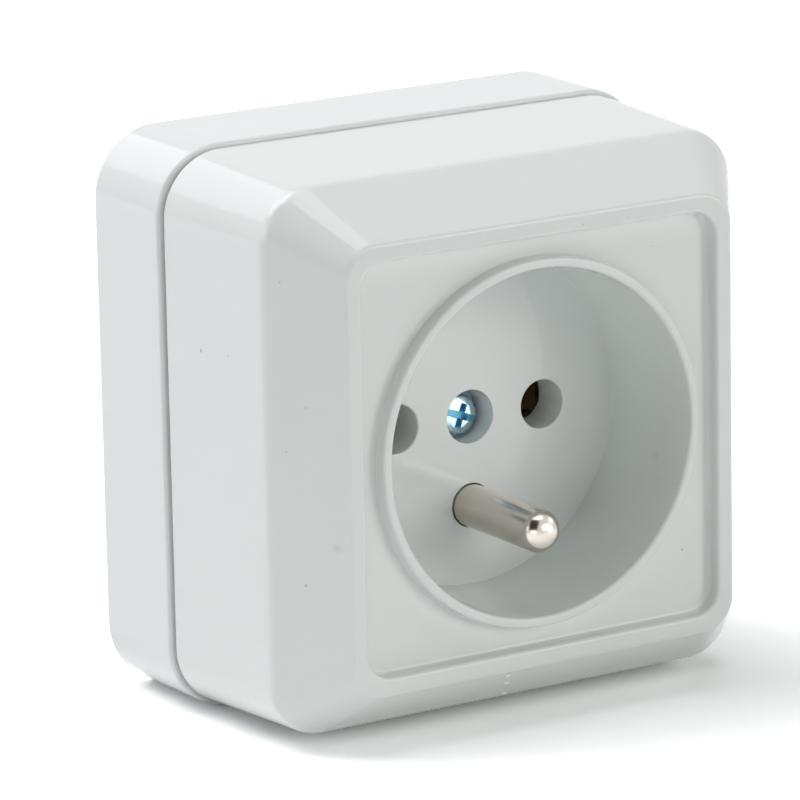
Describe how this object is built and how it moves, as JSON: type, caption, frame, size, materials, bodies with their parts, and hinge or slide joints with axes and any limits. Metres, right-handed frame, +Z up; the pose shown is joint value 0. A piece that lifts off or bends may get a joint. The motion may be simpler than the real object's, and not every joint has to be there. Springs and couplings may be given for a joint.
{
  "type": "surface-mounted power outlet",
  "caption": "Square surface-mounted power outlet with a bevelled white cover, a deep round well with a raised bead, round pin holes and a projecting earth pin.",
  "frame": {"origin": "middle of the flat back face, in the plane of the wall", "axes": "+Z up, +X to the right as seen by someone facing the outlet, +Y into the wall, so the front faces -Y"},
  "size_m": [0.0634, 0.042, 0.0634],
  "materials": {
    "cover_plastic": "glossy",
    "box_plastic": "glossy",
    "carrier_plastic": "matte",
    "brass": "satin",
    "nickel_plate": "polished",
    "zinc_plate": "satin",
    "spring_steel": "satin"
  },
  "bodies": {
    "root": {"rear_box": "box_plastic", "front_cover": "cover_plastic", "carrier": "carrier_plastic", "clip_left": "brass", "clip_right": "brass", "clip_spring_left": "spring_steel", "clip_spring_right": "spring_steel", "terminal_left": "brass", "terminal_right": "brass", "washer_left": "zinc_plate", "washer_right": "zinc_plate", "terminal_screw_left": "zinc_plate", "terminal_screw_right": "zinc_plate", "carrier_screw_left": "zinc_plate", "carrier_screw_right": "zinc_plate", "earth_pin": "nickel_plate", "earth_strap": "brass", "earth_terminal": "brass", "earth_washer": "zinc_plate", "earth_screw": "zinc_plate", "cover_screw": "zinc_plate", "cover_insert": "brass"}
  },
  "joints": []
}
